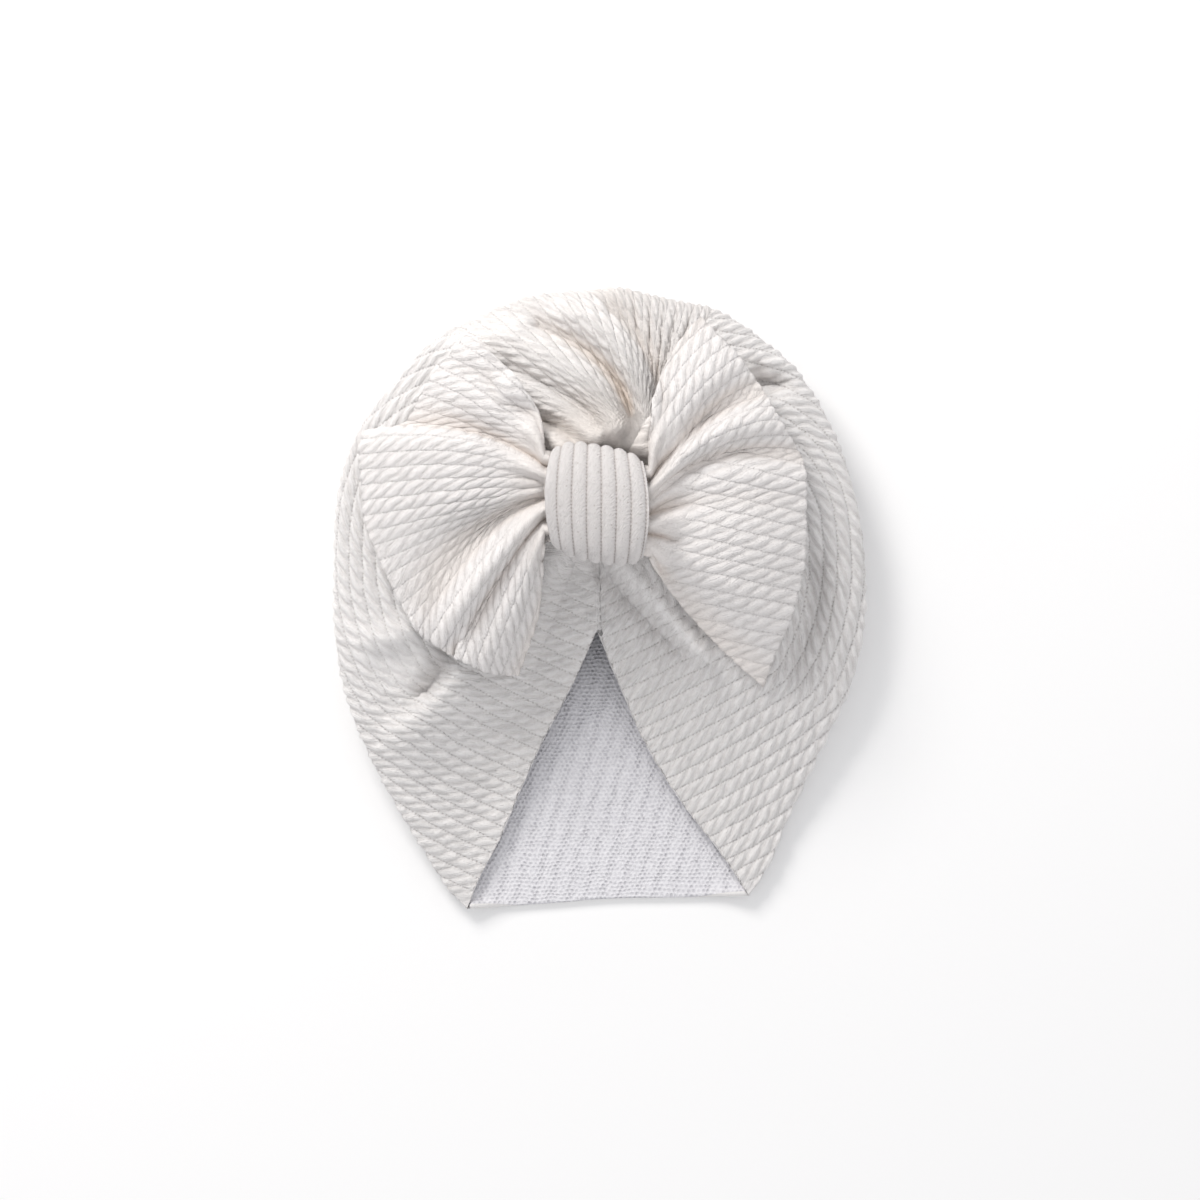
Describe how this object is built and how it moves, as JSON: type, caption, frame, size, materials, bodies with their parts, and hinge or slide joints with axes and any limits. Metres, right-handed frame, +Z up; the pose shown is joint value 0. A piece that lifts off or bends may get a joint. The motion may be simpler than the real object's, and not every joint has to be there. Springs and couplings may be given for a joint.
{
  "type": "baby turban",
  "caption": "Baby turban of cream ribbed knit with a V front opening, gathered crown and a large pinched bow at the front, lying flat on its back.",
  "frame": {"origin": "centre of the bounding box in plan, on the surface the turban lies on", "axes": "+Z up from the surface, through the front of the turban towards the viewer of the picture; +Y from the hem to the top of the crown; +X to the picture's right"},
  "size_m": [0.1768, 0.2076, 0.0623],
  "materials": {
    "crown_knit": "soft ribbed jersey knit, cream",
    "bow_knit": "soft ribbed jersey knit, cream",
    "band_knit": "soft ribbed jersey knit, cream"
  },
  "bodies": {
    "root": {"crown": "crown_knit", "bow": "bow_knit", "knot_band": "band_knit"}
  },
  "joints": []
}
